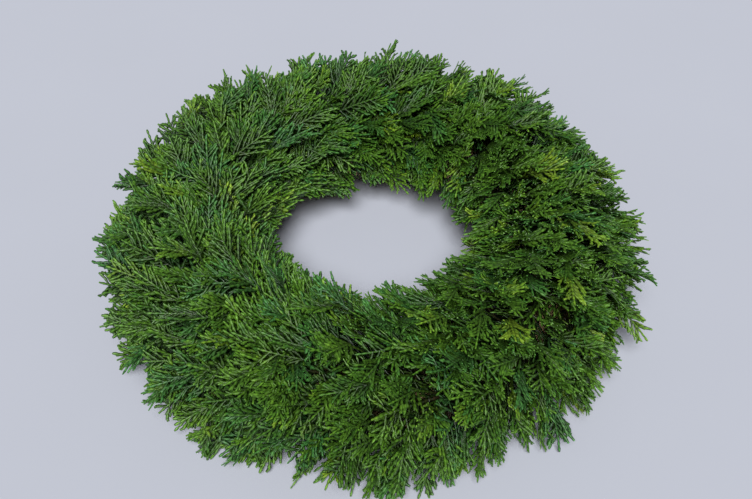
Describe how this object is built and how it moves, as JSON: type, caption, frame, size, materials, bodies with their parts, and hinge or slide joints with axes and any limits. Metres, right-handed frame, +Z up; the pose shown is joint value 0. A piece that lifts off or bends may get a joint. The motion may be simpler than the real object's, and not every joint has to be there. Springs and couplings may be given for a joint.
{
  "type": "fresh evergreen wreath",
  "caption": "Round, thick wreath of flat conifer sprays wired clockwise onto a straw ring, with an open centre, for laying flat or setting round a candle.",
  "frame": {"origin": "middle of the wreath's outline on the surface that it lies on", "axes": "+Z up through the open centre, +Y away from the picture's camera, +X to its right"},
  "size_m": [0.463, 0.46, 0.1253],
  "materials": {
    "foliage": "fresh scale-leaved evergreen sprays, deep green with a soft waxy sheen",
    "straw": "dry pressed straw, matte",
    "wire": "thin green lacquered iron wire, satin"
  },
  "bodies": {
    "root": {"straw_ring": "straw", "binding_wire": "wire", "outer_bunch_01": "foliage", "outer_bunch_02": "foliage", "outer_bunch_03": "foliage", "outer_bunch_04": "foliage", "outer_bunch_05": "foliage", "outer_bunch_06": "foliage", "outer_bunch_07": "foliage", "outer_bunch_08": "foliage", "outer_bunch_09": "foliage", "outer_bunch_10": "foliage", "outer_bunch_11": "foliage", "outer_bunch_12": "foliage", "outer_bunch_13": "foliage", "outer_bunch_14": "foliage", "outer_bunch_15": "foliage", "outer_bunch_16": "foliage", "outer_bunch_17": "foliage", "outer_bunch_18": "foliage", "top_bunch_01": "foliage", "top_bunch_02": "foliage", "top_bunch_03": "foliage", "top_bunch_04": "foliage", "top_bunch_05": "foliage", "top_bunch_06": "foliage", "top_bunch_07": "foliage", "top_bunch_08": "foliage", "top_bunch_09": "foliage", "top_bunch_10": "foliage", "top_bunch_11": "foliage", "top_bunch_12": "foliage", "top_bunch_13": "foliage", "top_bunch_14": "foliage", "top_bunch_15": "foliage", "top_bunch_16": "foliage", "top_bunch_17": "foliage", "top_bunch_18": "foliage", "inner_bunch_01": "foliage", "inner_bunch_02": "foliage", "inner_bunch_03": "foliage", "inner_bunch_04": "foliage", "inner_bunch_05": "foliage", "inner_bunch_06": "foliage", "inner_bunch_07": "foliage", "inner_bunch_08": "foliage", "inner_bunch_09": "foliage", "inner_bunch_10": "foliage", "inner_bunch_11": "foliage", "inner_bunch_12": "foliage", "inner_bunch_13": "foliage", "inner_bunch_14": "foliage", "inner_bunch_15": "foliage", "inner_bunch_16": "foliage", "inner_bunch_17": "foliage", "inner_bunch_18": "foliage"}
  },
  "joints": []
}
